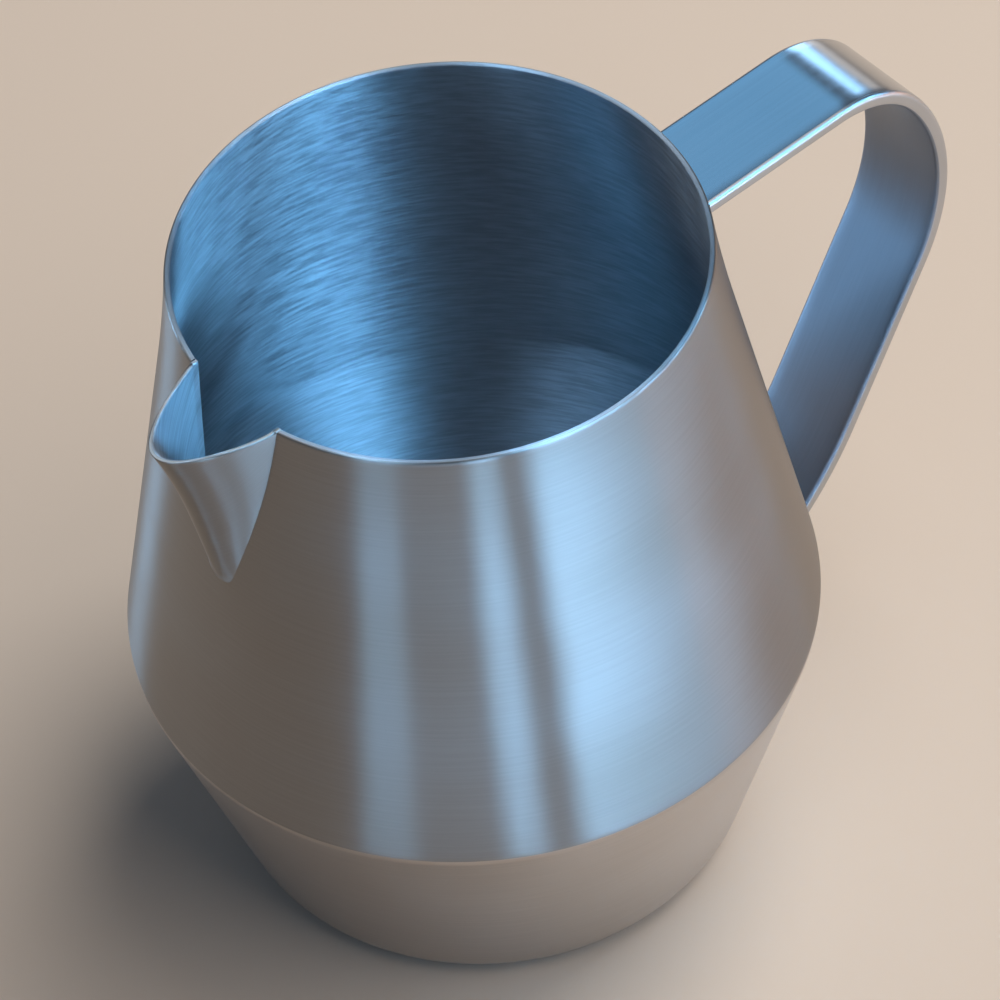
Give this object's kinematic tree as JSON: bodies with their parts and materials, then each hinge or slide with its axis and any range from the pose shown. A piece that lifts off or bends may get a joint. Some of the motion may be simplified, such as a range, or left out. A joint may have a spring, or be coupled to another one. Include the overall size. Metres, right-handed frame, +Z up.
{
  "type": "milk jug",
  "caption": "Open stainless steel milk jug with a sharp belly edge, a beak-shaped pouring lip let into the rim and a bent strap handle opposite it.",
  "frame": {"origin": "centre of the standing ring, on the table under the jug's axis", "axes": "+Z up along the jug's axis, +X towards the handle, -X towards the pouring lip"},
  "size_m": [0.1326, 0.0958, 0.108],
  "materials": {
    "body_steel": "satin outside, brushed round inside",
    "lip_steel": "satin",
    "handle_steel": "polished, faintly brushed along the strap",
    "weld_steel": "ground weld"
  },
  "bodies": {
    "root": {"upper_body": "body_steel", "lower_bowl": "body_steel", "pouring_lip": "lip_steel", "handle": "handle_steel", "upper_handle_weld": "weld_steel", "lower_handle_weld": "weld_steel"}
  },
  "joints": []
}
